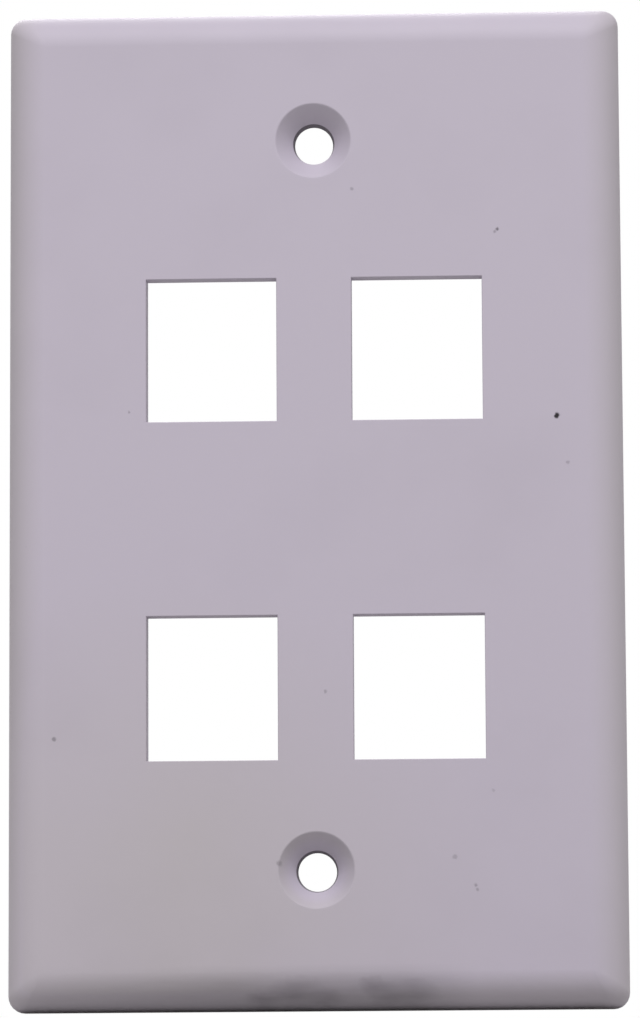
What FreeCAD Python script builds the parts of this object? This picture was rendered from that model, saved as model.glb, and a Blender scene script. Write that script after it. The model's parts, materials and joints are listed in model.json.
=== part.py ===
"""Keystone faceplate: a single-gang wall plate with four keystone ports, moulded in one piece.

The plate stands as it is mounted: its front looks along -Y, +Z is up and +X is to the right of
someone facing it. The origin is midway between the two screw holes, in the plane of the wall that
the rim's rear face lies on. A depth is counted from the front face towards the wall.
"""

import FreeCAD, Part
import os
import re

import Sketcher
from FreeCAD import Vector

SIZES = (
    ("plate_width", 69.85, "across the plate, 2.75 in"),
    ("plate_height", 114.3, "up the plate, 4.5 in"),
    ("plate_depth", 5.6, "front face to wall"),
    ("corner_radius", 1.8, "corners of the outline"),
    ("edge_radius", 4.2, "rounding between the front face and the rim"),
    ("wall", 2.0, "front wall and rim"),
    ("hollow_corner", 0.8, "upright corners inside the rim"),
    ("screw_spacing", 83.34, "between the screw holes, 3.281 in"),
    ("screw_bore", 4.8, "diameter of a screw hole"),
    ("screw_sink", 8.6, "diameter of a countersink at the face"),
    ("sink_angle", 82.0, "angle of a countersink, degrees"),
    ("boss_wall", 2.2, "wall of the boss round a screw hole"),
    ("boss_relief", 0.4, "boss end to wall, so that the rim seats first"),
    ("port_width", 14.8, "opening of a port"),
    ("port_height", 16.4, "opening of a port"),
    ("column_pitch", 23.34, "between the two columns of ports"),
    ("row_pitch", 38.6, "between the two rows of ports"),
    ("port_drop", 1.78, "middle of the ports below the middle of the screw holes"),
    ("socket_depth", 9.8, "front face to the rear end of a socket"),
    ("socket_wall", 1.4, "walls round a socket"),
    ("channel_step", 0.45, "socket wider than its port, each side"),
    ("latch_pocket", 4.0, "room above the port for the jack's springing latch"),
    ("latch_overlap", 2.0, "how far the latch bar hangs into that room"),
    ("hook_slot", 2.0, "slot below the port for the jack's fixed hook"),
    ("hook_front", 6.5, "depth at which the hook slot starts"),
    ("bar_front", 8.0, "depth of the two bars that the jack catches on"),
    ("lead_in", 0.9, "slope on the rear edge of both bars"),
    ("window_width", 9.6, "windows of the mould's side cores"),
    ("window_margin", 1.0, "front wall to the window above the latch"),
    ("rib_thickness", 1.2, "stiffening ribs"),
    ("rib_relief", 1.0, "edge of a rib to wall"),
    ("root", 0.4, "how far ribs, bosses and sockets root into the plate"),
)
NAMES = {name for name, number, note in SIZES}

# Places that several features share, worked out from the sheet's own sizes
SIDE = "plate_width / 2"
TOP = "plate_height / 2"
COLUMN = "column_pitch / 2"
ROW = "row_pitch / 2"
HALF_PORT_WIDTH = "port_width / 2"
HALF_PORT_HEIGHT = "port_height / 2"
HALF_CHANNEL = "(port_width / 2 + channel_step)"
HALF_SOCKET = "(port_width / 2 + channel_step + socket_wall)"
LATCH_ROOF = "(port_height / 2 + latch_pocket)"
HOOK_FLOOR = "(port_height / 2 + hook_slot)"

doc = FreeCAD.newDocument("KeystoneFaceplate")
sheet = doc.addObject("Spreadsheet::Sheet", "Dimensions")
for row, (name, number, note) in enumerate(SIZES, start=1):
    sheet.set(f"A{row}", name)
    sheet.set(f"B{row}", str(number))
    sheet.set(f"C{row}", note)
    sheet.setAlias(f"B{row}", name)
doc.recompute()


def tied(expression):
    """The expression with each size's name pointed at its cell in the sheet."""

    def cell(word):
        return f"Dimensions.{word[0]}" if word[0] in NAMES else word[0]

    return re.sub("[a-z_]+", cell, expression)


def value(expression):
    return float(sheet.evalExpression(tied(expression)))


def bind(target, path, expression):
    target.setExpression(path, tied(expression))


def origin_feature(body, role):
    return next(item for item in body.Origin.OriginFeatures if item.Role == role)


def sketch_on(body, name, role, **offset):
    """A sketch on one of the body's origin planes, moved along the plane's own x, y and z."""
    sketch = body.newObject("Sketcher::SketchObject", name)
    sketch.AttachmentSupport = (origin_feature(body, role), [""])
    sketch.MapMode = "FlatFace"
    for axis, expression in offset.items():
        bind(sketch, f"AttachmentOffset.Base.{axis}", expression)
    doc.recompute()
    return sketch


def hold(sketch, constraint, expression):
    """Add a constraint whose size follows the sheet."""
    index = sketch.addConstraint(constraint)
    bind(sketch, f"Constraints[{index}]", expression)


def hold_point(sketch, geometry, point, kind, expression):
    """Hold a point by its distance from the sketch's origin."""
    hold(sketch, Sketcher.Constraint(kind, -1, 1, geometry, point, value(expression)), expression)


def outline(sketch, corners):
    """A closed run of straight lines, each corner held across and up."""
    first = sketch.GeometryCount
    points = [Vector(value(across), value(up), 0) for across, up in corners]
    for start, end in zip(points, points[1:] + points[:1]):
        sketch.addGeometry(Part.LineSegment(start, end), False)
    for index, (across, up) in enumerate(corners):
        following = first + (index + 1) % len(corners)
        sketch.addConstraint(Sketcher.Constraint("Coincident", first + index, 2, following, 1))
        hold_point(sketch, first + index, 1, "DistanceX", across)
        hold_point(sketch, first + index, 1, "DistanceY", up)


def rectangle(sketch, left, right, bottom, top):
    outline(sketch, [(left, bottom), (right, bottom), (right, top), (left, top)])


def screw_circles(sketch, diameter):
    """A circle for each screw, on the upright centre line."""
    for height in ("screw_spacing / 2", "-screw_spacing / 2"):
        circle = Part.Circle(Vector(0, value(height), 0), Vector(0, 0, 1), value(diameter) / 2)
        index = sketch.addGeometry(circle, False)
        sketch.addConstraint(Sketcher.Constraint("PointOnObject", index, 3, -2))
        hold_point(sketch, index, 3, "DistanceY", height)
        hold(sketch, Sketcher.Constraint("Diameter", index, value(diameter)), diameter)


def feature(body, kind, name, adds, bound, **settings):
    """A PartDesign feature with its sizes bound to the sheet, tested for adding material or
    taking it away as it should."""
    before = body.Shape.Volume if body.Tip else 0.0
    made = body.newObject(f"PartDesign::{kind}", name)
    for setting, wanted in settings.items():
        setattr(made, setting, wanted)
    for setting, expression in bound.items():
        bind(made, setting, expression)
    body.Tip = made
    doc.recompute()
    if (made.Shape.Volume > before) != adds:
        raise RuntimeError(f"{name} changes the material the wrong way")
    return made


def pad(body, name, profile, **bound):
    return feature(body, "Pad", name, True, bound, Profile=profile)


def pocket(body, name, profile, bound, **settings):
    return feature(body, "Pocket", name, False, bound, Profile=profile, **settings)


def fillet(body, name, base, chosen, radius, adds=False):
    """Round the edges of the base whose bounding box passes the test."""
    boxes = [edge.BoundBox for edge in base.Shape.Edges]
    picked = [f"Edge{index}" for index, box in enumerate(boxes, start=1) if chosen(box)]
    return feature(body, "Fillet", name, adds, {"Radius": radius}, Base=(base, picked))


def corner_at(across, up):
    """Test for the edges from front to back at the four corners of an outline."""
    x, z = value(across), value(up)

    def test(box):
        place = (abs(box.Center.x) - x, abs(box.Center.z) - z, box.XLength, box.ZLength)
        return max(abs(gap) for gap in place) < 1e-6

    return test


def level_at(depth):
    """Test for the edges that lie in one plane, this deep."""
    y = value(f"{depth} - plate_depth")

    def test(box):
        return max(abs(box.YMin - y), abs(box.YMax - y)) < 1e-6

    return test


def plate_shell(body):
    """The rounded plate, hollow behind, with the same wall all over."""
    face = sketch_on(body, "PlateOutline", "XZ_Plane")
    rectangle(face, f"-{SIDE}", SIDE, f"-{TOP}", TOP)
    block = pad(body, "PlateBlock", face, Length="plate_depth")
    corners = fillet(body, "PlateCorners", block, corner_at(SIDE, TOP), "corner_radius")
    fillet(body, "FrontRounding", corners, level_at("0"), "edge_radius")

    side, top = f"({SIDE} - wall)", f"({TOP} - wall)"
    inside = sketch_on(body, "HollowOutline", "XZ_Plane")
    rectangle(inside, f"-{side}", side, f"-{top}", top)
    hollow = pocket(body, "Hollow", inside, {"Length": "plate_depth - wall"}, Reversed=True)
    rounded = fillet(body, "HollowCorners", hollow, corner_at(side, top), "hollow_corner", adds=True)
    fillet(body, "HollowRounding", rounded, level_at("wall"), "edge_radius - wall", adds=True)


def ribs(body):
    """Thin ribs from rim to rim: one along the top and the bottom of each row of sockets, one
    down the outer side of each column and one down the middle, through the screw bosses."""
    height = {"Length": "plate_depth - wall + root - rib_relief"}
    back = {"z": "rib_relief"}
    reach_side = f"({SIDE} - wall + root)"
    reach_top = f"({TOP} - wall + root)"

    across = sketch_on(body, "CrossRibOutlines", "XZ_Plane", **back)
    for row in (ROW, f"-{ROW}"):
        upper = f"{row} - port_drop + {LATCH_ROOF} + socket_wall"
        lower = f"{row} - port_drop - {HOOK_FLOOR} - socket_wall"
        rectangle(across, f"-{reach_side}", reach_side, f"{upper} - rib_thickness", upper)
        rectangle(across, f"-{reach_side}", reach_side, lower, f"{lower} + rib_thickness")
    pad(body, "CrossRibs", across, **height)

    along = sketch_on(body, "UprightRibOutlines", "XZ_Plane", **back)
    outer = f"({COLUMN} + {HALF_SOCKET})"
    rectangle(along, f"{outer} - rib_thickness", outer, f"-{reach_top}", reach_top)
    rectangle(along, f"-{outer}", f"-{outer} + rib_thickness", f"-{reach_top}", reach_top)
    rectangle(along, "-rib_thickness / 2", "rib_thickness / 2", f"-{reach_top}", reach_top)
    pad(body, "UprightRibs", along, **height)


def keystone_port(body):
    """The port at the upper right: a square tube behind the front wall, with a bar above and a
    bar below at its rear end. A jack hooks under the lower bar and its latch springs up behind
    the upper one."""
    port = {"x": COLUMN, "y": f"{ROW} - port_drop"}
    tube = sketch_on(body, "SocketOutline", "XZ_Plane", z="plate_depth - socket_depth", **port)
    rectangle(
        tube,
        f"-{HALF_SOCKET}",
        HALF_SOCKET,
        f"-{HOOK_FLOOR} - socket_wall",
        f"{LATCH_ROOF} + socket_wall",
    )
    socket = pad(body, "Socket", tube, Length="socket_depth - wall + root")

    mouth = sketch_on(body, "PortOutline", "XZ_Plane", z="plate_depth", **port)
    rectangle(mouth, f"-{HALF_PORT_WIDTH}", HALF_PORT_WIDTH, f"-{HALF_PORT_HEIGHT}", HALF_PORT_HEIGHT)
    opening = pocket(body, "PortOpening", mouth, {"Length": "socket_depth"})

    # Seen from the side: across is the depth behind the front face, up is from the port's middle
    side_view = {"x": "-plate_depth", "y": port["y"], "z": port["x"]}
    profile = sketch_on(body, "ChannelProfile", "YZ_Plane", **side_view)
    outline(
        profile,
        [
            ("wall", f"-{HALF_PORT_HEIGHT}"),
            ("hook_front", f"-{HALF_PORT_HEIGHT}"),
            ("hook_front", f"-{HOOK_FLOOR}"),
            ("bar_front", f"-{HOOK_FLOOR}"),
            ("bar_front", f"-{HALF_PORT_HEIGHT}"),
            ("socket_depth - lead_in", f"-{HALF_PORT_HEIGHT}"),
            ("socket_depth", f"-{HALF_PORT_HEIGHT} - lead_in"),
            ("socket_depth", f"{LATCH_ROOF} - latch_overlap + lead_in"),
            ("socket_depth - lead_in", f"{LATCH_ROOF} - latch_overlap"),
            ("bar_front", f"{LATCH_ROOF} - latch_overlap"),
            ("bar_front", LATCH_ROOF),
            ("wall", LATCH_ROOF),
        ],
    )
    width = {"Length": f"2 * {HALF_CHANNEL}"}
    channel = pocket(body, "Channel", profile, width, SideType="Symmetric")

    windows = []
    for name, height, front in (
        ("LatchWindow", LATCH_ROOF, "wall + window_margin"),
        ("HookWindow", f"-{HOOK_FLOOR} - socket_wall", "hook_front"),
    ):
        level = f"{ROW} - port_drop + {height}"
        sketch = sketch_on(body, f"{name}Outline", "XY_Plane", x=COLUMN, y="-plate_depth", z=level)
        rectangle(sketch, "-window_width / 2", "window_width / 2", front, "bar_front")
        windows.append(pocket(body, name, sketch, {"Length": "socket_wall"}, Reversed=True))
    return [socket, opening, channel, *windows]


def repeat_port(body, port):
    """The other three ports, one column to the left and one row down."""
    feature(
        body,
        "LinearPattern",
        "PortPattern",
        True,
        {"Length": "column_pitch", "Length2": "row_pitch"},
        Originals=port,
        Direction=(origin_feature(body, "X_Axis"), [""]),
        Reversed=True,
        Mode="Extent",
        Occurrences=2,
        Direction2=(origin_feature(body, "Z_Axis"), [""]),
        Reversed2=True,
        Mode2="Extent",
        Occurrences2=2,
    )


def screw_holes(body):
    """A boss behind the front wall for each screw, and the countersunk hole through it."""
    outlines = sketch_on(body, "BossOutlines", "XZ_Plane", z="boss_relief")
    screw_circles(outlines, "screw_bore + 2 * boss_wall")
    pad(body, "ScrewBosses", outlines, Length="plate_depth - wall + root - boss_relief")

    centres = sketch_on(body, "ScrewCentres", "XZ_Plane", z="plate_depth")
    screw_circles(centres, "screw_bore")
    feature(
        body,
        "Hole",
        "ScrewHoles",
        False,
        {"Diameter": "screw_bore", "HoleCutDiameter": "screw_sink", "HoleCutCountersinkAngle": "sink_angle"},
        Profile=centres,
        DepthType="ThroughAll",
        HoleCutType="Countersink",
        HoleCutCustomValues=True,
    )


faceplate = doc.addObject("PartDesign::Body", "Faceplate")
faceplate.Label = "faceplate"
faceplate.Placement = FreeCAD.Placement(Vector(0, 0, 0), FreeCAD.Rotation())
plate_shell(faceplate)
ribs(faceplate)
repeat_port(faceplate, keystone_port(faceplate))
screw_holes(faceplate)
doc.recompute()

failed = [item.Name for item in doc.Objects if {"Invalid", "Error"} & set(item.State)]
if failed:
    raise RuntimeError(f"features that failed: {failed}")
if faceplate.Shape.isNull() or not faceplate.Shape.isValid() or len(faceplate.Shape.Solids) != 1:
    raise RuntimeError("the faceplate is not one valid solid")

os.makedirs("parts", exist_ok=True)
faceplate.Shape.exportStep(f"parts/{faceplate.Label}.step")
box = faceplate.Shape.optimalBoundingBox(False)
extent = " x ".join(f"{length:.2f}" for length in (box.XLength, box.YLength, box.ZLength))
print(f"faceplate: {extent} mm, {faceplate.Shape.Volume:.1f} mm3")
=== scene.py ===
"""Keystone faceplate: a single-gang wall plate with four keystone ports, moulded in one piece.

The whole moulding is one Geometry Nodes tree with named sizes. It is made of rounded blocks that
are joined and cut: the plate and its hollow back, the sockets behind the ports, the stiffening
ribs, the screw bosses with their stepped holes, and the round marks that the mould's ejector pins
leave. Its plastic is satin and a little cloudy, with specks of dirt, greyer patches and darker
patches on the lower rim, and painted shade inside the screw holes.

The front looks along -Y and +Z is up. The plane of the wall is y = 0, and a depth is counted from
the front face towards the wall. Lengths are in metres.
"""

import json
import math

import bpy
from bpy.props import FloatProperty, FloatVectorProperty, PointerProperty
from mathutils import Matrix, Vector


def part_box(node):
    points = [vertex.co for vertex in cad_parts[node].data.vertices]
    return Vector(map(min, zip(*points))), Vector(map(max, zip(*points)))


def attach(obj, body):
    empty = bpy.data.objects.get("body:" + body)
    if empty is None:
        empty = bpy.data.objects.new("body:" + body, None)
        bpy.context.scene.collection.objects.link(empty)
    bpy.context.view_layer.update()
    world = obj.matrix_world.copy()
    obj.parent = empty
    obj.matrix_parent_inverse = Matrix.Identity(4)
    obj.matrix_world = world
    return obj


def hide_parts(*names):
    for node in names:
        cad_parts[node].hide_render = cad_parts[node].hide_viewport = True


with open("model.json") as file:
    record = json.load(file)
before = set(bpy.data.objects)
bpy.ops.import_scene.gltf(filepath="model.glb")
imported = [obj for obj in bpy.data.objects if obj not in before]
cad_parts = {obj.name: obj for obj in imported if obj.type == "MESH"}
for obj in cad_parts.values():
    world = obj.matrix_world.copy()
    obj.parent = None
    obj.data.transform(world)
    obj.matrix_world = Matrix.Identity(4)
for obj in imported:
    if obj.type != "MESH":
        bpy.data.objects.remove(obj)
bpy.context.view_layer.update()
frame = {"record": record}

bl_info = {
    "name": "Keystone faceplate",
    "version": (1, 0, 0),
    "blender": (4, 5, 0),
    "location": "View3D > Sidebar > Faceplate",
    "description": "Makes a moulded wall plate with four keystone ports, and the studio it stands in",
    "category": "Add Mesh",
}

PLATE_LOW, PLATE_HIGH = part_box("faceplate")
MOUNTS = {mount["name"]: mount for mount in frame["record"]["mounts"]}
SCREWS = MOUNTS["screw_holes"]["dims"]
UPPER_PORT = Vector(MOUNTS["port_upper_right"]["pos_m"])
LOWER_PORT = Vector(MOUNTS["port_lower_right"]["pos_m"])

MM = 0.001
QUARTER_TURN = math.pi / 2

# Building with blocks
LEAST_RADIUS = 0.02 * MM  # of a corner that is drawn in
WELD = 0.001 * MM  # points nearer than this become one
SKIM = 0.003 * MM  # keeps the faces of two blocks out of one plane
OVERSHOOT = 1.0 * MM  # how far a cutter runs past what it cuts
ROOT = 0.4 * MM  # how far a rib, boss or socket reaches into the wall that it stands on
SHARP = math.radians(28)  # a greater bend shows as an edge
TIGHTENING = 1.5  # how soon a corner gets tight as a rounding draws it in

# Sides of the arcs
REAR_STEPS = 3
EDGE_STEPS = 14
HOLLOW_STEPS = 8
HOLE_STEPS = 16
PIN_STEPS = 9
SOCKET_STEPS = 3
MOUTH_STEPS = 2
RIB_STEPS = 1

# Measures that follow the edge break, as multiples of it
SOCKET_CORNER = 2.0  # rounding of a socket's four long edges
SOCKET_END = 1.5  # rounding of its rear end
BORE_LIP = 1.4  # how far before the end of the sink the bore's soft edge starts

# How broad the patches of each wandering share are
GREY_PATCH = 22 * MM
CLOUD_PATCH = 16 * MM
ROUGH_PATCH = 5 * MM
BLOTCH_WANDER = 1.4 * MM
STREAK_HEIGHT = 0.8 * MM
SPECK_WANDER = 0.35 * MM
GRAIN_SIZE = 0.3 * MM

# Shares of the finish
WANDER = 0.85  # how far an outline strays, in patches
VEIL = 0.5  # strength of the darker veil on the lower rim, beside that of the blotches
GREY_RIMS = 0.6  # tint of the rims, beside that of the face
DULLING = 0.2  # how much the dirt and the painted shade add to the roughness
RUBBED_GRAIN = 0.9  # how much of the grain is rubbed off the rim

# Where the face is greyest, across and up from its middle
GREY_PLACE = (-18 * MM, -48 * MM)
GREY_REACH = 40 * MM

# The darker veil on the lower rim: how high it reaches, and from where to where across
VEIL_HEIGHT = 5 * MM
VEIL_LEFT = -36 * MM
VEIL_RIGHT = 18 * MM

# The studio
FLOOR_GAP = 0.4 * MM  # under the plate, so that the contact is no black line
FLOOR_RADIUS = 4.0
FLOOR_SIDES = 96
FLOOR_PLAIN = 0.35  # how far out the floor stays whole
FLOOR_FADE = 0.9  # over what length it then fades
SENSOR_WIDTH = 36.0
NEAREST_SEEN = 0.01


def length(name, default, description):
    """A property for a length."""
    return FloatProperty(
        name=name, description=description, default=default, min=0.0, precision=5,
        subtype="DISTANCE", unit="LENGTH",
    )


def share(name, default, description):
    """A property for a share from 0 to 1."""
    return FloatProperty(
        name=name, description=description, default=default, min=0.0, max=1.0, subtype="FACTOR"
    )


def colour(name, default, description):
    """A property for a linear colour."""
    return FloatVectorProperty(
        name=name, description=description, default=default, size=3, min=0.0, max=1.0, subtype="COLOR"
    )


def turn(name, degrees, description):
    """A property for an angle."""
    return FloatProperty(
        name=name, description=description, default=math.radians(degrees), subtype="ANGLE"
    )


def power(name, default, description):
    """A property for the power of a lamp, in watts."""
    return FloatProperty(name=name, description=description, default=default, min=0.0, subtype="POWER")


class MouldingSizes(bpy.types.PropertyGroup):
    """The sizes of the moulding; each becomes an input of its Geometry Nodes tree."""

    width: length("Width", PLATE_HIGH.x - PLATE_LOW.x, "Across the plate")
    height: length("Height", PLATE_HIGH.z - PLATE_LOW.z, "Up the plate")
    depth: length("Depth", -PLATE_LOW.y, "Front face to wall")
    corner_radius: length("Corner radius", 1.8 * MM, "Corners of the outline")
    edge_radius: length("Edge radius", 4.2 * MM, "Rounding between the front face and the rim")
    wall: length("Wall", 2.0 * MM, "Front wall and rim")
    hollow_corner: length("Hollow corner", 0.8 * MM, "Upright corners inside the rim")
    edge_break: length("Edge break", 0.12 * MM, "Slight rounding of the moulding's sharp edges")

    screw_spacing: length("Screw spacing", SCREWS["spacing_y_mm"] * MM, "Between the screw holes")
    screw_bore: length("Screw bore", 2 * SCREWS["hole_r_mm"] * MM, "Diameter of a screw hole")
    bore_land: length("Bore land", 1.2 * MM, "Narrow part of a screw hole, behind its countersink")
    bore_draft: length("Bore draft", 0.22 * MM, "How much the narrow part tapers, each side")
    bore_relief: length("Bore relief", 5.6 * MM, "Diameter of a screw hole behind its narrow part")
    screw_sink: length("Screw sink", 8.6 * MM, "Diameter of a countersink at the face")
    sink_angle: turn("Sink angle", 82.0, "Angle of a countersink")
    boss_wall: length("Boss wall", 2.2 * MM, "Wall of the boss round a screw hole")
    boss_relief: length("Boss relief", 0.4 * MM, "End of a boss to the wall")

    port_width: length("Port width", 14.8 * MM, "Opening of a port")
    port_height: length("Port height", 16.4 * MM, "Opening of a port")
    column_pitch: length("Column pitch", 2 * UPPER_PORT.x, "Between the two columns of ports")
    row_pitch: length("Row pitch", UPPER_PORT.z - LOWER_PORT.z, "Between the two rows of ports")
    port_drop: length(
        "Port drop", -(UPPER_PORT.z + LOWER_PORT.z) / 2, "Middle of the ports below the middle of the screws"
    )
    socket_depth: length("Socket depth", PLATE_HIGH.y - PLATE_LOW.y, "Front face to the rear end of a socket")
    socket_wall: length("Socket wall", 1.4 * MM, "Walls round a socket")
    channel_step: length("Channel step", 0.45 * MM, "Socket wider than its port, each side")
    latch_pocket: length("Latch pocket", 4.0 * MM, "Room above the port for the jack's latch")
    latch_overlap: length("Latch overlap", 2.0 * MM, "How far the latch bar hangs into that room")
    hook_slot: length("Hook slot", 2.0 * MM, "Slot below the port for the jack's hook")
    hook_front: length("Hook front", 6.5 * MM, "Depth at which the hook slot starts")
    bar_front: length("Bar front", 8.0 * MM, "Depth of the two bars that the jack catches on")
    lead_in: length("Lead-in", 0.9 * MM, "Slope on the rear edge of both bars")
    window_width: length("Window width", 9.6 * MM, "Windows of the mould's side cores")
    window_margin: length("Window margin", 1.0 * MM, "Front wall to the window above the latch")

    rib_thickness: length("Rib thickness", 1.2 * MM, "Stiffening ribs")
    rib_relief: length("Rib relief", 1.0 * MM, "Edge of a rib to the wall")
    ejector_diameter: length("Ejector diameter", 3.6 * MM, "Marks of the ejector pins")
    ejector_mark: length("Ejector mark", 0.08 * MM, "Depth of a mark")
    ejector_spread: length("Ejector spread", 57.0 * MM, "Outermost ejector marks across the plate")
    ejector_rise: length("Ejector rise", 94.0 * MM, "Outermost ejector marks up the plate")


class FinishSettings(bpy.types.PropertyGroup):
    """Colour and surface of the moulded plastic."""

    plastic: colour("Plastic", (0.487, 0.442, 0.522), "Pale lilac-grey plastic")
    # A greyer tint at the lower left of the face and on the side and lower rims
    handled: colour("Handled", (0.463, 0.425, 0.460), "Greyer tint where the plate has been handled")
    # The colour of the dirt specks, of the darker patches on the lower rim and of the painted shade inside
    # the screw bores
    dirt: colour("Dirt", (0.030, 0.026, 0.030), "Specks of dirt on the face, and the soiled rim")
    cloud: share("Cloudiness", 0.04, "How far patches of the plastic darken")
    # Painted shade: how far the walls of the screw bores are darkened, standing in for the shade deep inside
    # the holes
    grime: share("Grime", 0.7, "Grime in the screw holes")
    # How far the lower rim is darkened by the veil and blotches
    soiling: share("Soiling", 0.5, "Dirt rubbed into the lower rim")
    roughness: share("Roughness", 0.55, "Roughness of the satin surface")
    unevenness: share("Unevenness", 0.08, "How far the roughness wanders")
    rubbing: share("Rubbing", 0.06, "How much smoother the rim has been rubbed")
    gloss: share("Gloss", 0.14, "Strength of the plastic's own gloss")
    grain: length("Grain", 0.002 * MM, "Height of the surface's fine grain")


class StudioSettings(bpy.types.PropertyGroup):
    """Camera, lamps and floor."""

    aim: FloatVectorProperty(
        name="Aim", description="Point that the camera looks at", subtype="TRANSLATION", unit="LENGTH",
        default=(0.592 * MM, -5.6 * MM, -0.841 * MM),
    )
    distance: length("Distance", 0.66355, "Camera to that point")
    azimuth: turn("Azimuth", 2.272, "Camera to the right of straight ahead")
    elevation: turn("Elevation", -8.522, "Camera above the plate's middle")
    roll: turn("Roll", 0.2935, "Camera's turn about its line of sight")
    lens: FloatProperty(name="Lens", description="Focal length", default=207.785, subtype="DISTANCE_CAMERA")
    key_power: power("Main lamp", 11.85, "Power of the main lamp")
    key_colour: colour("Main lamp's colour", (0.97, 0.965, 1.0), "Colour of the main lamp")
    key_breadth: length("Main lamp's breadth", 0.6, "Diameter of the main lamp")
    key_distance: length("Main lamp's distance", 1.25, "Main lamp to the plate's middle")
    key_azimuth: turn("Main lamp's azimuth", 3.0, "Main lamp to the right of straight ahead")
    key_elevation: turn("Main lamp's elevation", 50.0, "Main lamp above the plate's middle")
    rear_power: power("Rear lamp", 3.5, "Power of the lamp behind")
    rear_colour: colour("Rear lamp's colour", (1.0, 1.0, 1.0), "Colour of the lamp behind")
    rear_breadth: length("Rear lamp's breadth", 0.6, "Diameter of the lamp behind")
    rear_distance: length("Rear lamp's distance", 1.0, "Lamp behind to the plate's middle")
    rear_azimuth: turn("Rear lamp's azimuth", 195.0, "Lamp behind to the right of straight ahead")
    rear_elevation: turn("Rear lamp's elevation", 45.0, "Lamp behind above the plate's middle")
    ambient: colour("Ambient", (0.43, 0.43, 0.395), "Light from all round")
    floor: colour("Floor", (0.55, 0.55, 0.54), "Pale floor")


# ---------------------------------------------------------------------------------------------
# Node trees


class Number:
    """A number inside a node tree. Arithmetic on it adds Math nodes."""

    def __init__(self, tree, socket):
        self.tree = tree
        self.socket = socket

    def math(self, operation, *terms):
        node = self.tree.add("ShaderNodeMath", dict(enumerate(terms)), operation=operation)
        return Number(self.tree, node.outputs[0])

    def __add__(self, other):
        return self.math("ADD", self, other)

    __radd__ = __add__

    def __sub__(self, other):
        return self.math("SUBTRACT", self, other)

    def __rsub__(self, other):
        return self.math("SUBTRACT", other, self)

    def __mul__(self, other):
        return self.math("MULTIPLY", self, other)

    def __truediv__(self, other):
        return self.math("DIVIDE", self, other)

    def __rtruediv__(self, other):
        return self.math("DIVIDE", other, self)

    def __pow__(self, other):
        return self.math("POWER", self, other)

    def __neg__(self):
        return self.math("MULTIPLY", self, -1.0)

    def __abs__(self):
        return self.math("ABSOLUTE", self)

    def at_least(self, other):
        return self.math("MAXIMUM", self, other)

    def at_most(self, other):
        return self.math("MINIMUM", self, other)

    def over(self, other):
        """1 where this is greater than the other, otherwise 0."""
        return self.math("GREATER_THAN", self, other)

    def under(self, limit, soft):
        """1 where this is well under the limit, fading to 0 at the limit."""
        return ((limit - self) / soft).at_least(0).at_most(1)

    def past(self, limit, soft):
        """0 up to the limit, rising to 1 over a soft width past it."""
        return ((self - limit) / soft).at_least(0).at_most(1)

    def floor(self):
        return self.math("FLOOR", self)

    def sign(self):
        return self.math("SIGN", self)

    def sin(self):
        return self.math("SINE", self)

    def cos(self):
        return self.math("COSINE", self)

    def tan(self):
        return self.math("TANGENT", self)


class Tree:
    """A node tree and short ways to fill it."""

    def __init__(self, tree):
        self.tree = tree

    def add(self, kind, inputs=None, **settings):
        """Add a node, set it and plug its inputs, each given by name or by number."""
        node = self.tree.nodes.new(kind)
        for setting, wanted in settings.items():
            setattr(node, setting, wanted)
        for socket, source in (inputs or {}).items():
            self.plug(node.inputs[socket], source)
        return node

    def plug(self, socket, source):
        """Feed a socket from a node, a socket, a number, a vector of numbers or a list of them."""
        if isinstance(source, list):
            for each in source:
                self.plug(socket, each)
        elif isinstance(source, Number):
            self.tree.links.new(source.socket, socket)
        elif isinstance(source, bpy.types.Node):
            self.tree.links.new(source.outputs[0], socket)
        elif isinstance(source, bpy.types.NodeSocket):
            self.tree.links.new(source, socket)
        elif isinstance(source, tuple) and any(isinstance(part, Number) for part in source):
            self.plug(socket, self.add("ShaderNodeCombineXYZ", dict(enumerate(source))))
        else:
            socket.default_value = source


class ShadeTree(Tree):
    """A shader tree."""

    def noise(self, place, size, detail=2.0):
        """A wandering share around 0.5; the size is how broad its patches are."""
        node = self.add("ShaderNodeTexNoise", {"Vector": place, "Scale": 1 / size, "Detail": detail})
        return Number(self, node.outputs["Fac"])

    def mix(self, factor, first, second):
        """A colour between two."""
        node = self.add("ShaderNodeMix", {0: factor, 6: first, 7: second}, data_type="RGBA")
        return node.outputs[2]

    def axes(self, vector):
        node = self.add("ShaderNodeSeparateXYZ", {0: vector})
        return tuple(Number(self, node.outputs[axis]) for axis in "XYZ")


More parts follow.
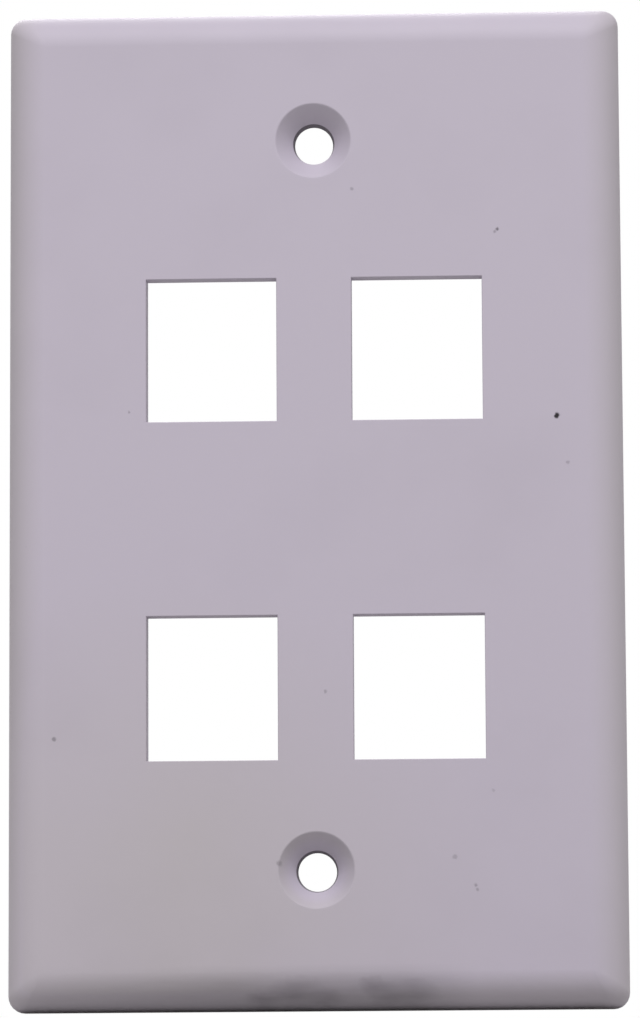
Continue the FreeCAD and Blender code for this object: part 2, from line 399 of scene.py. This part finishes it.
class ShapeTree(Tree):
    """A Geometry Nodes tree with one geometry coming out."""

    def __init__(self, name):
        super().__init__(bpy.data.node_groups.new(name, "GeometryNodeTree"))
        self.tree.interface.new_socket("Geometry", in_out="OUTPUT", socket_type="NodeSocketGeometry")
        self.entry = self.tree.nodes.new("NodeGroupInput")
        self.exit = self.tree.nodes.new("NodeGroupOutput")

    def input(self, name, default=0.0, kind="Float", description=""):
        socket = self.tree.interface.new_socket(name, in_out="INPUT", socket_type=f"NodeSocket{kind}")
        socket.description = description
        if kind != "Material":
            socket.default_value = default
        return Number(self, self.entry.outputs[name])

    def finish(self, geometry):
        self.plug(self.exit.inputs["Geometry"], geometry)
        return self.tree

    def join(self, *parts):
        return self.add("GeometryNodeJoinGeometry", {"Geometry": list(reversed(parts))})

    def move(self, geometry, place):
        return self.add("GeometryNodeTransform", {"Geometry": geometry, "Translation": place})

    def repeat(self, points, *shapes):
        """Each shape at every point, as instances, so that a boolean takes each on its own."""
        return [
            self.add("GeometryNodeInstanceOnPoints", {"Points": points, "Instance": shape})
            for shape in shapes
        ]

    def union(self, *parts):
        node = self.add("GeometryNodeMeshBoolean", operation="UNION", solver="EXACT")
        self.plug(node.inputs["Mesh 2"], list(parts))
        return node

    def cut(self, solid, *cutters):
        node = self.add("GeometryNodeMeshBoolean", {"Mesh 1": solid}, operation="DIFFERENCE", solver="EXACT")
        self.plug(node.inputs["Mesh 2"], list(cutters))
        return node

    def row(self, count, start, step):
        """Points in a row."""
        inputs = {"Count": count, "Start Location": start, "Offset": step}
        return self.add("GeometryNodeMeshLine", inputs, mode="OFFSET")

    def grid(self, across, up, columns, rows, place):
        """Points in columns and rows over the plate."""
        inputs = {"Size X": across, "Size Y": up, "Vertices X": columns, "Vertices Y": rows}
        points = self.add("GeometryNodeMeshGrid", inputs)
        turned = {"Geometry": points, "Translation": place, "Rotation": (QUARTER_TURN, 0.0, 0.0)}
        return self.add("GeometryNodeTransform", turned)

    def box(self, left, right, front, rear, bottom, top):
        """A plain box between six planes, with its corners exactly in them."""
        cube = self.add("GeometryNodeMeshCube", {"Size": (1.0, 1.0, 1.0)})
        place = self.add("ShaderNodeSeparateXYZ", {0: self.add("GeometryNodeInputPosition")})
        corner = tuple(
            self.either(Number(self, place.outputs[axis]).over(0), high, low)
            for axis, low, high in (("X", left, right), ("Y", front, rear), ("Z", bottom, top))
        )
        return self.add("GeometryNodeSetPosition", {"Geometry": cube, "Position": corner})

    def either(self, test, if_true, if_false):
        inputs = {"Switch": test, "True": if_true, "False": if_false}
        return Number(self, self.add("GeometryNodeSwitch", inputs, input_type="FLOAT").outputs[0])

    def block(self, blocks, **sizes):
        """A rounded block, from the group that makes them."""
        return self.add("GeometryNodeGroup", sizes, node_tree=blocks)


def rounded_block_tree():
    """A block lying between two levels, front and rear, with rounded corners and rounded ends.

    It is a stack of rings, each a rounded rectangle, from the rear end to the front end. A
    rounding above 0 draws the block in towards that end. One below 0 flares it out there and runs
    past the end, so that cutting with the block leaves a rounded edge. The corners get tighter
    as a large rounding draws them in, down to a soft point.
    """
    tree = ShapeTree("Rounded block")
    width = tree.input("width")
    height = tree.input("height")
    rear = tree.input("rear")
    front = tree.input("front")
    corner = tree.input("corner")
    rear_round = tree.input("rear_round")
    front_round = tree.input("front_round")
    taper = tree.input("taper", description="How much the block is drawn in at its rear end")
    steps = tree.input("corner_steps", 6, "Int", "Sides of each corner's arc")
    front_steps = tree.input("front_steps", 3, "Int", "Sides of the rounding at the front end")

    # The first ring is the rear end, or past it where that end flares. Then REAR_STEPS + 1 rings go
    # round the rear end and front_steps + 1 round the front end. The last is the front end or past it.
    last_ring = front_steps + (REAR_STEPS + 3)

    index = Number(tree, tree.add("GeometryNodeInputIndex").outputs[0])
    which = (index / (steps + 1)).floor()
    angle = (which + (index - which * (steps + 1)) / steps) * QUARTER_TURN
    diagonal = which * QUARTER_TURN + QUARTER_TURN / 2
    corner_way = (diagonal.cos().sign(), diagonal.sin().sign(), angle.cos(), angle.sin())

    circle = tree.add("GeometryNodeMeshCircle", {"Vertices": (steps + 1) * 4}, fill_type="NGON")
    capture = tree.add("GeometryNodeCaptureAttribute", {"Geometry": circle})
    kept = ("side_x", "side_z", "arc_x", "arc_z")
    for name, value in zip(kept, corner_way):
        capture.capture_items.new("FLOAT", name)
        tree.plug(capture.inputs[name], value)
    side_x, side_z, arc_x, arc_z = (Number(tree, capture.outputs[name]) for name in kept)

    def ring(number):
        """Where the corner points of one ring stand."""
        back_turn = (1 - ((number - 1) / REAR_STEPS).at_least(0).at_most(1)) * QUARTER_TURN
        front_turn = ((number - 2 - REAR_STEPS) / front_steps).at_least(0).at_most(1) * QUARTER_TURN
        at_front = number.over(REAR_STEPS + 1.5)
        rounding = rear_round + (front_round - rear_round) * at_front
        swing = back_turn + (front_turn - back_turn) * at_front
        drawn_in = rounding * (1 - swing.cos())
        end = rear + (front - rear) * at_front
        inward = at_front * 2 - 1
        at_end = (0.5 - number).over(0) + (number - last_ring + 0.5).over(0)
        past = (0 - rounding).over(0) * (at_end * OVERSHOOT + SKIM)
        level = end + inward * (abs(rounding) * (1 - swing.sin()) - past)
        turned_in = (drawn_in / (abs(rounding) + WELD)).at_least(0) ** TIGHTENING
        tapered = taper * ((level - front) / (rear - front)).at_least(0).at_most(1)
        inset = drawn_in + tapered
        radius = ((corner - drawn_in).at_least(corner * (1 - turned_in)) - tapered).at_least(LEAST_RADIUS)
        across = side_x * (width / 2 - inset - radius) + arc_x * radius
        up = side_z * (height / 2 - inset - radius) + arc_z * radius
        return across, level, up

    first = Number(tree, tree.add("FunctionNodeInputInt", integer=0).outputs[0])
    first_ring = {"Geometry": capture.outputs["Geometry"], "Position": ring(first)}
    start = tree.add("GeometryNodeSetPosition", first_ring)

    zone_in = tree.tree.nodes.new("GeometryNodeRepeatInput")
    zone_out = tree.tree.nodes.new("GeometryNodeRepeatOutput")
    zone_in.pair_with_output(zone_out)
    zone_out.repeat_items.new("BOOLEAN", "Top")
    tree.plug(zone_in.inputs["Iterations"], last_ring)
    tree.plug(zone_in.inputs["Geometry"], start)
    tree.plug(zone_in.inputs["Top"], True)
    stacked = {"Mesh": zone_in.outputs["Geometry"], "Selection": zone_in.outputs["Top"]}
    stacked.update({"Offset Scale": 0.0, "Individual": False})
    extrude = tree.add("GeometryNodeExtrudeMesh", stacked, mode="FACES")
    number = Number(tree, zone_in.outputs["Iteration"]) + 1
    next_ring = {"Selection": extrude.outputs["Top"], "Position": ring(number)}
    placed = tree.add("GeometryNodeSetPosition", {"Geometry": extrude.outputs["Mesh"], **next_ring})
    tree.plug(zone_out.inputs["Geometry"], placed)
    tree.plug(zone_out.inputs["Top"], extrude.outputs["Top"])

    floor = tree.add("GeometryNodeFlipFaces", {"Mesh": start})
    closed = tree.join(zone_out.outputs["Geometry"], floor)
    welded = tree.add("GeometryNodeMergeByDistance", {"Geometry": closed, "Distance": WELD})
    return tree.finish(welded)


def moulding_tree(sizes):
    """The whole moulding, with an input for each size."""
    blocks = rounded_block_tree()
    tree = ShapeTree("Faceplate moulding")
    names = [prop.identifier for prop in sizes.bl_rna.properties if prop.identifier in sizes.__annotations__]
    size = {
        name: tree.input(name, getattr(sizes, name), description=sizes.bl_rna.properties[name].description)
        for name in names
    }
    material = tree.input("finish", kind="Material")
    face = -size["depth"]
    edge_break = size["edge_break"]

    def at(depth):
        """The level of a depth behind the front face."""
        return face + depth

    # The shell
    plate = tree.block(
        blocks, width=size["width"], height=size["height"], rear=0.0, front=face,
        corner=size["corner_radius"], rear_round=edge_break, front_round=size["edge_radius"],
        front_steps=EDGE_STEPS,
    )
    hollow = tree.block(
        blocks, width=size["width"] - size["wall"] * 2, height=size["height"] - size["wall"] * 2, rear=0.0,
        front=at(size["wall"]), corner=size["hollow_corner"], rear_round=-edge_break,
        front_round=size["edge_radius"] - size["wall"], front_steps=HOLLOW_STEPS,
    )
    shell = tree.cut(plate, hollow)

    # Places that several features share
    rows = size["row_pitch"] / 2
    ports = tree.grid(size["column_pitch"], size["row_pitch"], 2, 2, (0.0, 0.0, -size["port_drop"]))
    port_rows = tree.row(2, (0.0, 0.0, -rows - size["port_drop"]), (0.0, 0.0, size["row_pitch"]))
    screws = tree.row(2, (0.0, 0.0, -size["screw_spacing"] / 2), (0.0, 0.0, size["screw_spacing"]))
    half_port = size["port_width"] / 2
    half_channel = half_port + size["channel_step"]
    half_socket = half_channel + size["socket_wall"]
    sill = -size["port_height"] / 2
    lintel = size["port_height"] / 2
    hook_floor = sill - size["hook_slot"]
    latch_roof = lintel + size["latch_pocket"]
    socket_bottom = hook_floor - size["socket_wall"]
    socket_top = latch_roof + size["socket_wall"]
    floor_level = at(size["wall"] - ROOT)

    # Ribs, along each row of sockets and down the plate
    rib_rear = -size["rib_relief"]
    rib_half = size["rib_thickness"] / 2
    reach = (ROOT - size["wall"]) * 2
    rib_sizes = {"rear": rib_rear, "front": floor_level, "rear_round": edge_break, "corner_steps": RIB_STEPS}
    cross_rib = tree.block(blocks, width=size["width"] + reach, height=size["rib_thickness"], **rib_sizes)
    upright = tree.block(blocks, width=size["rib_thickness"], height=size["height"] + reach, **rib_sizes)
    cross_pair = (
        tree.move(cross_rib, (0.0, 0.0, socket_top - rib_half - SKIM)),
        tree.move(cross_rib, (0.0, 0.0, socket_bottom + rib_half + SKIM)),
    )
    outer = size["column_pitch"] / 2 + half_socket - rib_half - SKIM
    uprights = tree.row(3, (-outer, 0.0, 0.0), (outer, 0.0, 0.0))

    # Sockets and bosses
    tube = tree.block(
        blocks, width=half_socket * 2, height=socket_top - socket_bottom, rear=at(size["socket_depth"]),
        front=floor_level, corner=edge_break * SOCKET_CORNER, rear_round=edge_break * SOCKET_END,
        corner_steps=SOCKET_STEPS,
    )
    tube = tree.move(tube, (0.0, 0.0, (socket_top + socket_bottom) / 2))
    boss_width = size["screw_bore"] + size["boss_wall"] * 2
    boss = tree.block(
        blocks, width=boss_width, height=boss_width, rear=-size["boss_relief"], front=floor_level,
        corner=boss_width / 2, rear_round=edge_break, corner_steps=HOLE_STEPS,
    )
    solid = tree.union(
        shell,
        *tree.repeat(port_rows, *cross_pair),
        *tree.repeat(uprights, upright),
        *tree.repeat(ports, tube),
        *tree.repeat(screws, boss),
    )

    # What is cut out of a port
    mouth = tree.block(
        blocks, width=size["port_width"], height=size["port_height"], rear=at(size["wall"]) + ROOT,
        front=face, front_round=-edge_break, corner_steps=MOUTH_STEPS,
    )
    channel_sides = (-half_channel, half_channel)
    channel_sill = sill - SKIM
    bars = at(size["bar_front"])
    bars_rear = at(size["socket_depth"] - size["lead_in"])
    bar_foot = latch_roof - size["latch_overlap"]
    channel = tree.box(*channel_sides, at(size["wall"]), bars, channel_sill, latch_roof)
    slot = tree.box(*channel_sides, at(size["hook_front"]), bars, hook_floor, sill + OVERSHOOT)
    throat = tree.box(*channel_sides, bars - OVERSHOOT, bars_rear, channel_sill, bar_foot)

    # The throat between the bars goes on to the rear and flares, which leaves their lead-in slopes
    place = tree.add("ShaderNodeSeparateXYZ", {0: tree.add("GeometryNodeInputPosition")})
    rearmost = Number(tree, place.outputs["Y"]).over(bars_rear - WELD)
    rearward = {"Offset": (0.0, size["lead_in"] * 2, 0.0), "Offset Scale": 1.0}
    lead_in = tree.add(
        "GeometryNodeExtrudeMesh", {"Mesh": throat, "Selection": rearmost, **rearward}, mode="FACES"
    )
    outward = (Number(tree, place.outputs["Z"]) - (sill + bar_foot) / 2).sign()
    spread = {"Selection": lead_in.outputs["Top"], "Offset": (0.0, 0.0, outward * size["lead_in"] * 2)}
    flared = tree.add("GeometryNodeSetPosition", {"Geometry": lead_in.outputs["Mesh"], **spread})

    half_window = size["window_width"] / 2
    window_rear = bars - SKIM
    latch_window = tree.box(
        -half_window, half_window, at(size["wall"] + size["window_margin"]), window_rear,
        latch_roof - OVERSHOOT, socket_top + OVERSHOOT,
    )
    hook_window = tree.box(
        -half_window, half_window, at(size["hook_front"]) + SKIM, window_rear,
        socket_bottom - OVERSHOOT, hook_floor + OVERSHOOT,
    )
    port_cutters = (mouth, channel, slot, flared, latch_window, hook_window)

    # What is cut out for a screw: the sink, which runs on to a point, a short bore with a soft
    # edge where it leaves the sink, and a wider relief behind that
    slope = (size["sink_angle"] / 2).tan()
    sink_depth = (size["screw_sink"] - size["screw_bore"]) / 2 / slope
    sink_tip = size["screw_bore"] / 4
    sink = tree.block(
        blocks, width=size["screw_sink"], height=size["screw_sink"], rear=at(sink_depth) + sink_tip / slope,
        front=face, corner=size["screw_sink"] / 2, front_round=-edge_break,
        taper=(size["screw_sink"] - size["screw_bore"]) / 2 + sink_tip, corner_steps=HOLE_STEPS,
    )
    land_end = at(sink_depth + size["bore_land"])
    bore = tree.block(
        blocks, width=size["screw_bore"], height=size["screw_bore"], rear=land_end + OVERSHOOT,
        front=at(sink_depth - edge_break * BORE_LIP), corner=size["screw_bore"] / 2,
        front_round=-edge_break, taper=size["bore_draft"] * (1 + OVERSHOOT / size["bore_land"]),
        corner_steps=HOLE_STEPS,
    )
    relief = tree.block(
        blocks, width=size["bore_relief"], height=size["bore_relief"], rear=-size["boss_relief"],
        front=land_end, corner=size["bore_relief"] / 2, rear_round=-edge_break,
        corner_steps=HOLE_STEPS,
    )

    # Marks of the ejector pins on the floor of the hollow
    pin = tree.block(
        blocks, width=size["ejector_diameter"], height=size["ejector_diameter"],
        rear=at(size["wall"] + OVERSHOOT), front=at(size["wall"] - size["ejector_mark"]),
        corner=size["ejector_diameter"] / 2, corner_steps=PIN_STEPS,
    )
    pins = tree.grid(size["ejector_spread"], size["ejector_rise"], 4, 3, (0.0, 0.0, -size["port_drop"] / 2))

    moulding = tree.cut(
        solid,
        *tree.repeat(ports, *port_cutters),
        *tree.repeat(screws, sink, bore, relief),
        *tree.repeat(pins, pin),
    )
    welded = tree.add("GeometryNodeMergeByDistance", {"Geometry": moulding, "Distance": WELD})
    bend = Number(tree, tree.add("GeometryNodeInputMeshEdgeAngle").outputs["Unsigned Angle"])
    smooth = tree.add("GeometryNodeSetShadeSmooth", {"Geometry": welded, "Shade Smooth": True}, domain="FACE")
    soft_edges = {"Geometry": smooth, "Shade Smooth": (SHARP - bend).over(0)}
    creased = tree.add("GeometryNodeSetShadeSmooth", soft_edges, domain="EDGE")
    real = tree.add("GeometryNodeRealizeInstances", {"Geometry": creased})
    return tree.finish(tree.add("GeometryNodeSetMaterial", {"Geometry": real, "Material": material}))


def make_with_nodes(name, tree, values, finishing=()):
    """A plain mesh object from a Geometry Nodes tree, with the tree's inputs set by identifier."""
    maker = bpy.data.objects.new(name, bpy.data.meshes.new(name))
    bpy.context.scene.collection.objects.link(maker)
    modifier = maker.modifiers.new("Shape", "NODES")
    modifier.node_group = tree
    for socket in tree.interface.items_tree:
        if socket.item_type == "SOCKET" and socket.in_out == "INPUT":
            modifier[socket.identifier] = values[socket.name]
    for kind, settings in finishing:
        extra = maker.modifiers.new(kind.title(), kind)
        for setting, wanted in settings.items():
            setattr(extra, setting, wanted)
    graph = bpy.context.evaluated_depsgraph_get()
    shaped = maker.evaluated_get(graph)
    mesh = bpy.data.meshes.new_from_object(shaped, preserve_all_data_layers=True, depsgraph=graph)
    bpy.data.objects.remove(maker)
    mesh.name = name
    used = [material for material in mesh.materials if material]
    mesh.materials.clear()
    for material in used:
        mesh.materials.append(material)
    mesh.polygons.foreach_set("material_index", [0] * len(mesh.polygons))
    piece = bpy.data.objects.new(name, mesh)
    bpy.context.scene.collection.objects.link(piece)
    if len(mesh.polygons) == 0:
        raise RuntimeError(f"{name} came out empty")
    return piece


# ---------------------------------------------------------------------------------------------
# Finishes


# The darker specks of dirt on the face: across and up from the plate's middle, radius (mm), strength
SPECKS = (
    (27.47, 9.65, 0.25, 1.0),
    (27.34, 9.45, 0.23, 1.0),
    (20.9, 31.1, 0.18, 0.65),
    (20.6, 30.8, 0.16, 0.35),
    (28.6, 4.2, 0.20, 0.3),
    (4.4, 36.0, 0.19, 0.3),
    (-21.0, 10.5, 0.16, 0.35),
    (1.1, -21.6, 0.19, 0.3),
    (19.9, -32.9, 0.18, 0.2),
    (-32.9, -4.7, 0.22, 0.2),
    (-29.5, -26.7, 0.22, 0.45),
    (15.5, -40.3, 0.26, 0.25),
    (17.8, -43.5, 0.20, 0.35),
    (18.0, -44.0, 0.17, 0.3),
    (-4.2, -40.9, 0.28, 0.3),
)

# The darker blotches on the lower rim: across, up from the foot, half the height (mm), strength
FOOT_BLOTCHES = (
    (-6.1, 1.0, 0.9, 0.75),
    (-2.3, 1.7, 1.3, 0.75),
    (1.0, 1.0, 0.9, 0.65),
    (6.2, 2.5, 0.7, 0.7),
    (7.9, 1.5, 0.9, 0.6),
    (11.2, 1.5, 1.1, 0.5),
)


def mark_tree():
    """A shader group that gives an oval mark. Its outline fades over its softness, in radii."""
    tree = ShadeTree(bpy.data.node_groups.new("Mark", "ShaderNodeTree"))
    names = ("across", "up", "middle_across", "middle_up", "radius", "stretch", "softness", "strength")
    for name in names:
        tree.tree.interface.new_socket(name, in_out="INPUT", socket_type="NodeSocketFloat")
    tree.tree.interface.new_socket("mark", in_out="OUTPUT", socket_type="NodeSocketFloat")
    entry = tree.add("NodeGroupInput")
    numbers = (Number(tree, entry.outputs[name]) for name in names)
    across, up, middle_across, middle_up, radius, stretch, softness, strength = numbers
    away = (((across - middle_across) / stretch) ** 2 + (up - middle_up) ** 2) ** 0.5
    tree.add("NodeGroupOutput", {"mark": (away / radius).under(softness / 2 + 1, softness) * strength})
    return tree.tree


def ragged_marks(tree, group, marks, place, across, up, patch, **shape):
    """How strongly some marks cover each place. Their outlines wander, in patches of a given breadth."""
    wander = tree.add("ShaderNodeTexNoise", {"Vector": place, "Scale": 1 / patch, "Detail": 1.0})
    wander_across, _, wander_up = tree.axes(wander.outputs["Color"])
    strayed = {
        "across": across + (wander_across - 0.5) * (WANDER * patch),
        "up": up + (wander_up - 0.5) * (WANDER * patch),
    }
    unmarked = 1.0
    for middle_across, middle_up, radius, strength in marks:
        placed = {"middle_across": middle_across * MM, "middle_up": middle_up * MM, "radius": radius * MM}
        values = {**strayed, **placed, **shape, "strength": strength}
        mark = tree.add("ShaderNodeGroup", values, node_tree=group)
        unmarked = (1 - Number(tree, mark.outputs["mark"])) * unmarked
    return 1 - unmarked


def darkened_foot(tree, group, place, across, depth, up, sizes):
    """Darker patches on the lower rim: a grey veil with darker blotches, on the outside only."""
    above = up - PLATE_LOW.z
    veil = above.under(limit=VEIL_HEIGHT, soft=2 * MM)
    veil = veil * across.under(limit=VEIL_RIGHT, soft=8 * MM) * across.past(limit=VEIL_LEFT, soft=26 * MM)
    blotches = ragged_marks(
        tree, group, FOOT_BLOTCHES, place, across, above, BLOTCH_WANDER, stretch=1.6, softness=1.4
    )
    drawn_out = tree.add("ShaderNodeCombineXYZ", {"X": across * 0.15, "Y": depth, "Z": up})
    streaks = tree.noise(drawn_out, STREAK_HEIGHT) * 0.5 + 0.75
    rounding = sizes.edge_radius
    from_axis = ((depth - (PLATE_LOW.y + rounding)) ** 2 + (above - rounding) ** 2) ** 0.5
    outside = from_axis.past(limit=rounding - 0.8 * MM, soft=0.5 * MM)
    outside = outside * depth.under(limit=-0.3 * MM, soft=1.2 * MM)
    return (1 - (1 - veil * VEIL) * (1 - blotches)) * streaks * outside


def plastic_material(finish, sizes):
    """Satin moulded plastic: a faint cloudiness, a fine grain, specks of dirt, greyer patches, darker patches
    on the lower rim, and painted shade inside the screw bores.
    """
    material = bpy.data.materials.new("satin_plastic")
    material.use_nodes = True
    tree = ShadeTree(material.node_tree)
    shader = material.node_tree.nodes["Principled BSDF"]
    place = tree.add("ShaderNodeTexCoord").outputs["Object"]
    across, depth, up = tree.axes(place)

    # Greyer at the lower left of the face, and on the side and lower rims
    middle_across, middle_up = GREY_PLACE
    away = ((across - middle_across) ** 2 + (up - middle_up) ** 2) ** 0.5
    patchy = tree.noise(place, GREY_PATCH) * 0.8 + 0.5
    on_face = depth.under(limit=PLATE_LOW.y + 1.5 * MM, soft=1 * MM)
    on_face = away.under(limit=GREY_REACH, soft=30 * MM) * patchy * on_face
    over_side = abs(across) - (sizes.width / 2 - sizes.edge_radius)
    over_foot = -up - (sizes.height / 2 - sizes.edge_radius)
    on_rims = over_side.at_least(over_foot).past(limit=0.0, soft=3 * MM)
    on_rims = on_rims * depth.under(limit=0.0, soft=3 * MM) * GREY_RIMS
    handled = on_face.at_least(on_rims).at_most(1)
    colour = tree.mix(handled, (*finish.plastic, 1.0), (*finish.handled, 1.0))

    # Dirt and painted shade: dirt specks, a faint cloudiness, painted shade inside the screw bores, and
    # darker patches on the lower rim
    group = mark_tree()
    specks = ragged_marks(
        tree, group, SPECKS, place, across, up, SPECK_WANDER, stretch=1.0, softness=0.8
    )
    specks = specks * depth.under(limit=PLATE_LOW.y + 0.6 * MM, soft=0.3 * MM)
    cloud = tree.noise(place, CLOUD_PATCH, detail=3.0).past(limit=0.5, soft=0.3) * finish.cloud
    # Painted shade: the walls of the screw bores, behind the countersinks, are darkened towards the dirt
    # colour, standing in for the shade deep inside the holes
    from_screw = (across**2 + (abs(up) - sizes.screw_spacing / 2) ** 2) ** 0.5
    sink_depth = (sizes.screw_sink - sizes.screw_bore) / 2 / math.tan(sizes.sink_angle / 2)
    bore_shade_mask = from_screw.under(limit=sizes.screw_bore / 2 + 0.02 * MM, soft=0.06 * MM)
    bore_shade_mask = bore_shade_mask * depth.past(limit=sink_depth - sizes.depth, soft=0.1 * MM)
    # Darker patches on the lower rim
    darker_foot = darkened_foot(tree, group, place, across, depth, up, sizes) * finish.soiling
    dirt = specks.at_least(cloud).at_least(bore_shade_mask * finish.grime).at_least(darker_foot)
    tree.plug(shader.inputs["Base Color"], tree.mix(dirt, colour, (*finish.dirt, 1.0)))

    # A satin surface with a fine grain, rubbed smooth on the rim and duller where the dirt and the painted
    # shade lie
    over_rim = over_side.at_least(abs(up) - (sizes.height / 2 - sizes.edge_radius))
    rubbed = over_rim.past(limit=0.0, soft=2 * MM) * depth.under(limit=0.0, soft=1.5 * MM)
    uneven = tree.noise(place, ROUGH_PATCH, detail=3.0) * (2 * finish.unevenness) - finish.unevenness
    roughness = uneven + dirt * DULLING - rubbed * finish.rubbing + finish.roughness
    tree.plug(shader.inputs["Roughness"], roughness)
    shader.inputs["Specular IOR Level"].default_value = finish.gloss
    grain = {"Height": tree.noise(place, GRAIN_SIZE), "Distance": finish.grain}
    grain["Strength"] = 1 - rubbed * RUBBED_GRAIN
    tree.plug(shader.inputs["Normal"], tree.add("ShaderNodeBump", grain))
    return material


def studio_world(ambient):
    """White to the camera and in reflections; a plain even light for everything else."""
    world = bpy.data.worlds.new("studio")
    world.use_nodes = True
    tree = ShadeTree(world.node_tree)
    path = tree.add("ShaderNodeLightPath")
    seen = Number(tree, path.outputs["Is Camera Ray"])
    seen = seen.at_least(Number(tree, path.outputs["Is Glossy Ray"]))
    seen = seen.at_least(Number(tree, path.outputs["Is Transmission Ray"]))
    background = world.node_tree.nodes["Background"]
    background.inputs["Strength"].default_value = 1.0
    tree.plug(background.inputs["Color"], tree.mix(seen, (*ambient, 1.0), (1.0, 1.0, 1.0, 1.0)))
    return world


def floor_material(finish):
    """A pale floor that fades into the white all round. Its underside lets the camera through."""
    material = bpy.data.materials.new("pale_floor")
    material.use_nodes = True
    tree = ShadeTree(material.node_tree)
    nodes = material.node_tree.nodes
    nodes.remove(nodes["Principled BSDF"])
    camera = Number(tree, tree.add("ShaderNodeLightPath").outputs["Is Camera Ray"])
    under = Number(tree, tree.add("ShaderNodeNewGeometry").outputs["Backfacing"])
    across, away, _ = tree.axes(tree.add("ShaderNodeTexCoord").outputs["Object"])
    faded = ((across**2 + away**2) ** 0.5).past(FLOOR_PLAIN, FLOOR_FADE)
    pale = tree.add("ShaderNodeBsdfDiffuse", {"Color": (*finish, 1.0)})
    clear = tree.add("ShaderNodeBsdfTransparent")
    shown = tree.add("ShaderNodeMixShader", {0: camera * under.at_least(faded), 1: pale, 2: clear})
    tree.plug(nodes["Material Output"].inputs["Surface"], shown)
    return material


# ---------------------------------------------------------------------------------------------
# Operators


class FACEPLATE_OT_moulding(bpy.types.Operator):
    """Make the moulded faceplate"""

    bl_idname = "faceplate.moulding"
    bl_label = "Faceplate moulding"

    def execute(self, context):
        sizes = context.scene.faceplate_sizes
        values = {name: getattr(sizes, name) for name in MouldingSizes.__annotations__}
        values["finish"] = plastic_material(context.scene.faceplate_finish, sizes)
        finishing = [("WEIGHTED_NORMAL", {"weight": 100, "keep_sharp": True})]
        piece = make_with_nodes("moulded_faceplate", moulding_tree(sizes), values, finishing)
        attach(piece, "root")
        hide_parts("faceplate")
        return {"FINISHED"}


def soft_lamp(name, watts, colour, breadth, place):
    """A round lamp that shines on the middle of the plate from a place."""
    light = bpy.data.lights.new(name, "AREA")
    light.energy = watts
    light.color = colour
    light.shape = "DISK"
    light.size = breadth
    lamp = bpy.data.objects.new(name, light)
    lamp.location = place
    lamp.rotation_euler = place.to_track_quat("Z", "Y").to_euler()
    bpy.context.scene.collection.objects.link(lamp)


def way(azimuth, elevation):
    """The way from the plate towards a place round it, as a vector of length 1."""
    flat = math.cos(elevation)
    return Vector((math.sin(azimuth) * flat, -math.cos(azimuth) * flat, math.sin(elevation)))


class FACEPLATE_OT_studio(bpy.types.Operator):
    """Set up the floor, the lamps and the camera"""

    bl_idname = "faceplate.studio"
    bl_label = "Studio"

    def execute(self, context):
        studio = context.scene.faceplate_studio
        scene = context.scene
        scene.view_settings.view_transform = "Standard"
        scene.world = studio_world(studio.ambient)

        level = PLATE_LOW.z - FLOOR_GAP
        bpy.ops.mesh.primitive_circle_add(
            vertices=FLOOR_SIDES, radius=FLOOR_RADIUS, fill_type="NGON", location=(0, 0, level)
        )
        floor = context.object
        floor.name = "floor"
        floor.data.materials.append(floor_material(studio.floor))

        towards_key = way(studio.key_azimuth, studio.key_elevation) * studio.key_distance
        soft_lamp("key", studio.key_power, studio.key_colour, studio.key_breadth, towards_key)
        towards_rear = way(studio.rear_azimuth, studio.rear_elevation) * studio.rear_distance
        soft_lamp("rear", studio.rear_power, studio.rear_colour, studio.rear_breadth, towards_rear)

        camera = bpy.data.objects.new("camera", bpy.data.cameras.new("camera"))
        scene.collection.objects.link(camera)
        back = way(studio.azimuth, studio.elevation)
        upright = back.to_track_quat("Z", "Y").to_matrix().to_4x4()
        place = Matrix.Translation(Vector(studio.aim) + back * studio.distance)
        camera.matrix_world = place @ upright @ Matrix.Rotation(-studio.roll, 4, "Z")
        camera.data.lens = studio.lens
        camera.data.sensor_width = SENSOR_WIDTH
        camera.data.clip_start = NEAREST_SEEN
        scene.camera = camera
        return {"FINISHED"}


class FACEPLATE_PT_panel(bpy.types.Panel):
    """Lists what can be made"""

    bl_idname = "FACEPLATE_PT_panel"
    bl_label = "Faceplate"
    bl_space_type = "VIEW_3D"
    bl_region_type = "UI"
    bl_category = "Faceplate"

    def draw(self, context):
        for group in SETTINGS:
            settings = getattr(context.scene, group)
            column = self.layout.column()
            for name in settings.__annotations__:
                column.prop(settings, name)
        for operator in OPERATORS:
            self.layout.operator(operator.bl_idname)


SETTINGS = {
    "faceplate_sizes": MouldingSizes,
    "faceplate_finish": FinishSettings,
    "faceplate_studio": StudioSettings,
}
OPERATORS = (FACEPLATE_OT_moulding, FACEPLATE_OT_studio)
CLASSES = (*SETTINGS.values(), *OPERATORS, FACEPLATE_PT_panel)


def register():
    for each in CLASSES:
        bpy.utils.register_class(each)
    for name, settings in SETTINGS.items():
        setattr(bpy.types.Scene, name, PointerProperty(type=settings))


def unregister():
    for name in SETTINGS:
        delattr(bpy.types.Scene, name)
    for each in reversed(CLASSES):
        bpy.utils.unregister_class(each)


def main():
    register()
    bpy.ops.faceplate.moulding()
    bpy.ops.faceplate.studio()


if __name__ == "__main__":
    main()
